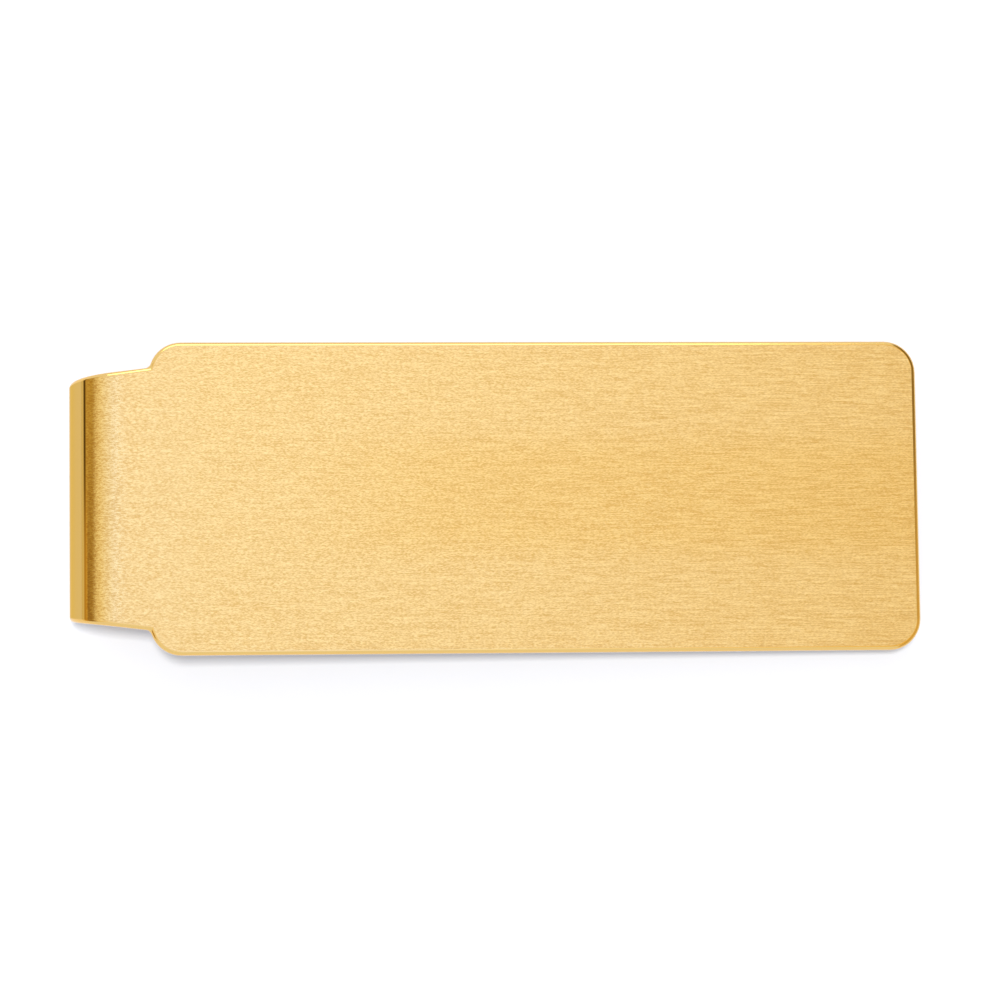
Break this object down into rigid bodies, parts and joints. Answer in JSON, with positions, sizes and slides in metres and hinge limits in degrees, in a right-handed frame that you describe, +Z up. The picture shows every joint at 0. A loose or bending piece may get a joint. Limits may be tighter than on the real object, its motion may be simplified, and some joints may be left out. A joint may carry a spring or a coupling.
{
  "type": "money clip",
  "caption": "Slim hinged money clip: satin gold-tone dress plate rolled into a bow at one end, with a sprung leaf behind it that clamps folded banknotes.",
  "frame": {"origin": "on the table under the middle of the clip's bounding box, as the clip lies with its plate up", "axes": "+X from the rolled bow to the plate's free end, +Y across the clip along the hinge pin, +Z up; the plate slopes down 4.02 degrees towards +X because the clip rests on its bow and on the lip of the leaf"},
  "size_m": [0.054, 0.0198, 0.006],
  "materials": {
    "satin_gold_plate": "gold plated, satin brushed along its length, polished at the bow and edges",
    "polished_gold_plate": "gold plated, polished",
    "spring_wire": "drawn spring steel wire, bright"
  },
  "bodies": {
    "front": {"front_plate": "satin_gold_plate", "lug_near": "polished_gold_plate", "lug_far": "polished_gold_plate", "hinge_pin": "polished_gold_plate", "torsion_spring": "spring_wire"},
    "leaf": {"clamp_leaf": "polished_gold_plate"}
  },
  "joints": [
    {"name": "leaf_hinge", "type": "hinge", "parent": "leaf", "child": "front", "pos_m": [-0.02404, 0, 0.003], "axis": [0, -1, 0], "range_deg": [0, 35], "stiffness_Nm_per_rad": 0.0145, "springref_deg": -120.32, "deforming": ["torsion_spring"]}
  ]
}
